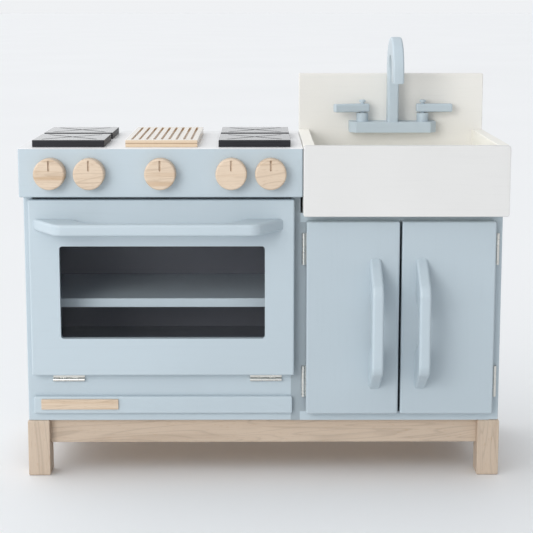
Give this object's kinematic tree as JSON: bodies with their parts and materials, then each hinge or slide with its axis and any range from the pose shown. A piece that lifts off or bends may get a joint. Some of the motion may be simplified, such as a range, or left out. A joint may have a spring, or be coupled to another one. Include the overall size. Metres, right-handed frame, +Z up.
{
  "type": "toy kitchen",
  "caption": "Wooden play kitchen with an oven under a hob on the left and an apron sink over a cupboard on the right, on a leg base; doors, knobs and faucet levers move.",
  "frame": {"origin": "on the floor, under the middle of the whole object's box", "axes": "+Z up, +X along the front towards the sink, -Y towards the child standing in front"},
  "size_m": [0.785, 0.336, 0.724],
  "materials": {
    "painted_blue": "blue-grey satin paint on board",
    "painted_white": "white satin paint on board",
    "natural_maple": "clear matt oil on solid maple",
    "griddle_ply": "clear matt oil on birch plywood",
    "black_stain": "black semi-gloss paint on plywood",
    "clear_acrylic": "clear gloss",
    "hinge_steel": "nickel plated",
    "catch_plastic": "black matt"
  },
  "bodies": {
    "carcass": {"side_panel_left": "painted_blue", "side_panel_right": "painted_blue", "divider_panel": "painted_blue", "hinge_stiles": "painted_blue", "floor_panels": "painted_blue", "oven_floor": "painted_blue", "cabinet_top": "painted_blue", "lower_fascia": "painted_blue", "top_rail": "painted_blue", "back_panel": "painted_blue", "control_panel": "painted_blue", "trim_strip": "painted_blue", "oven_shelf": "painted_blue", "faucet_bar": "painted_blue", "faucet_spout": "painted_blue", "valve_posts": "painted_blue", "lever_pegs": "painted_blue", "hob_board": "painted_white", "hob_top_sheet": "painted_white", "sink_apron": "painted_white", "sink_sides": "painted_white", "sink_floor": "painted_white", "backsplash": "painted_white", "legs_front": "natural_maple", "legs_rear": "natural_maple", "base_rail_front": "natural_maple", "base_rail_rear": "natural_maple", "base_rails_side": "natural_maple", "name_plaque": "natural_maple", "shelf_pins": "natural_maple", "grate_front_left": "black_stain", "grate_rear_left": "black_stain", "grate_front_right": "black_stain", "grate_rear_right": "black_stain", "griddle": "griddle_ply", "hinge_leaves_fixed": "hinge_steel", "hinge_pins": "hinge_steel", "frame_screws": "hinge_steel", "magnetic_catches": "catch_plastic"},
    "oven_door": {"oven_door": "painted_blue", "oven_window": "clear_acrylic", "window_retainer": "painted_blue", "oven_handle": "painted_blue", "oven_hinge_leaves": "hinge_steel", "oven_door_fixings": "hinge_steel"},
    "cupboard_door_left": {"cabinet_door_left": "painted_blue", "handle_left": "painted_blue", "hinge_leaves_left": "hinge_steel", "door_fixings_left": "hinge_steel"},
    "cupboard_door_right": {"cabinet_door_right": "painted_blue", "handle_right": "painted_blue", "hinge_leaves_right": "hinge_steel", "door_fixings_right": "hinge_steel"},
    "lever_left": {"lever_left": "painted_blue"},
    "lever_right": {"lever_right": "painted_blue"},
    "knob_1": {"knob_1": "natural_maple"},
    "knob_2": {"knob_2": "natural_maple"},
    "knob_3": {"knob_3": "natural_maple"},
    "knob_4": {"knob_4": "natural_maple"},
    "knob_5": {"knob_5": "natural_maple"}
  },
  "joints": [
    {"name": "oven_door_hinge", "type": "hinge", "parent": "carcass", "child": "oven_door", "pos_m": [-0.1589, -0.0952, 0.1658], "axis": [1, 0, 0], "range_deg": [0, 90]},
    {"name": "cupboard_door_left_hinge", "type": "hinge", "parent": "carcass", "child": "cupboard_door_left", "pos_m": [0.0655, -0.0952, 0.27375], "axis": [0, 0, 1], "range_deg": [-90, 0]},
    {"name": "cupboard_door_right_hinge", "type": "hinge", "parent": "carcass", "child": "cupboard_door_right", "pos_m": [0.3815, -0.0952, 0.27375], "axis": [0, 0, 1], "range_deg": [0, 90]},
    {"name": "knob_1_turn", "type": "hinge", "parent": "carcass", "child": "knob_1", "pos_m": [-0.3405, -0.118, 0.513], "axis": [0, -1, 0], "continuous": true},
    {"name": "knob_2_turn", "type": "hinge", "parent": "carcass", "child": "knob_2", "pos_m": [-0.2775, -0.118, 0.513], "axis": [0, -1, 0], "continuous": true},
    {"name": "knob_3_turn", "type": "hinge", "parent": "carcass", "child": "knob_3", "pos_m": [-0.1645, -0.118, 0.513], "axis": [0, -1, 0], "continuous": true},
    {"name": "knob_4_turn", "type": "hinge", "parent": "carcass", "child": "knob_4", "pos_m": [-0.0515, -0.118, 0.513], "axis": [0, -1, 0], "continuous": true},
    {"name": "knob_5_turn", "type": "hinge", "parent": "carcass", "child": "knob_5", "pos_m": [0.0115, -0.118, 0.513], "axis": [0, -1, 0], "continuous": true},
    {"name": "lever_left_turn", "type": "hinge", "parent": "carcass", "child": "lever_left", "pos_m": [0.176, 0.1235, 0.598], "axis": [0, 0, 1], "range_deg": [-23, 75]},
    {"name": "lever_right_turn", "type": "hinge", "parent": "carcass", "child": "lever_right", "pos_m": [0.283, 0.1235, 0.598], "axis": [0, 0, 1], "range_deg": [-90, 8]}
  ]
}
